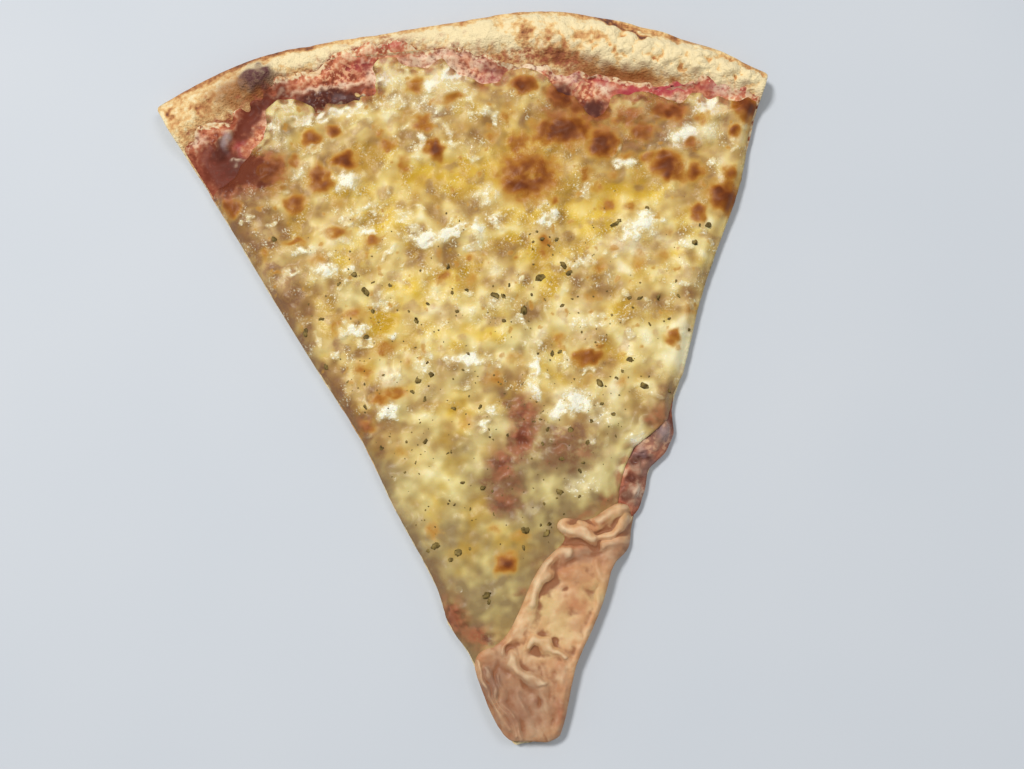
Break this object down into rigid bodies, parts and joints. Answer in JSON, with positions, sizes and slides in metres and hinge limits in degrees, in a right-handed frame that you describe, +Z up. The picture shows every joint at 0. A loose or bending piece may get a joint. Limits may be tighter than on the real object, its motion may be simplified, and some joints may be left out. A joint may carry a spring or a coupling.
{
  "type": "cheese pizza slice",
  "caption": "Wedge of thin-crust cheese pizza with a puffed browned rim, blistered cheese with dried herbs, and cheese folded over its tip.",
  "frame": {"origin": "centre of the bottom of the slice's bounding box, on the surface that it lies on", "axes": "+Y runs along the slice from its tip to its rim, +Z points up from the surface, +X is to the right with the rim away from the viewer"},
  "size_m": [0.1846, 0.2165, 0.0119],
  "materials": {
    "baked_dough": "baked dough, dry and matt, cream to golden brown with dark bubbles",
    "tomato_sauce": "baked tomato sauce, dark red, moist and slightly shiny",
    "melted_cheese": "melted cheese, cream to yellow, oily gloss with browned blisters and dark green herbs",
    "folded_cheese": "wrinkled cheese stained pinkish beige by the sauce, moist"
  },
  "bodies": {
    "root": {"crust": "baked_dough", "tomato_sauce": "tomato_sauce", "melted_cheese": "melted_cheese", "folded_cheese": "folded_cheese"}
  },
  "joints": []
}
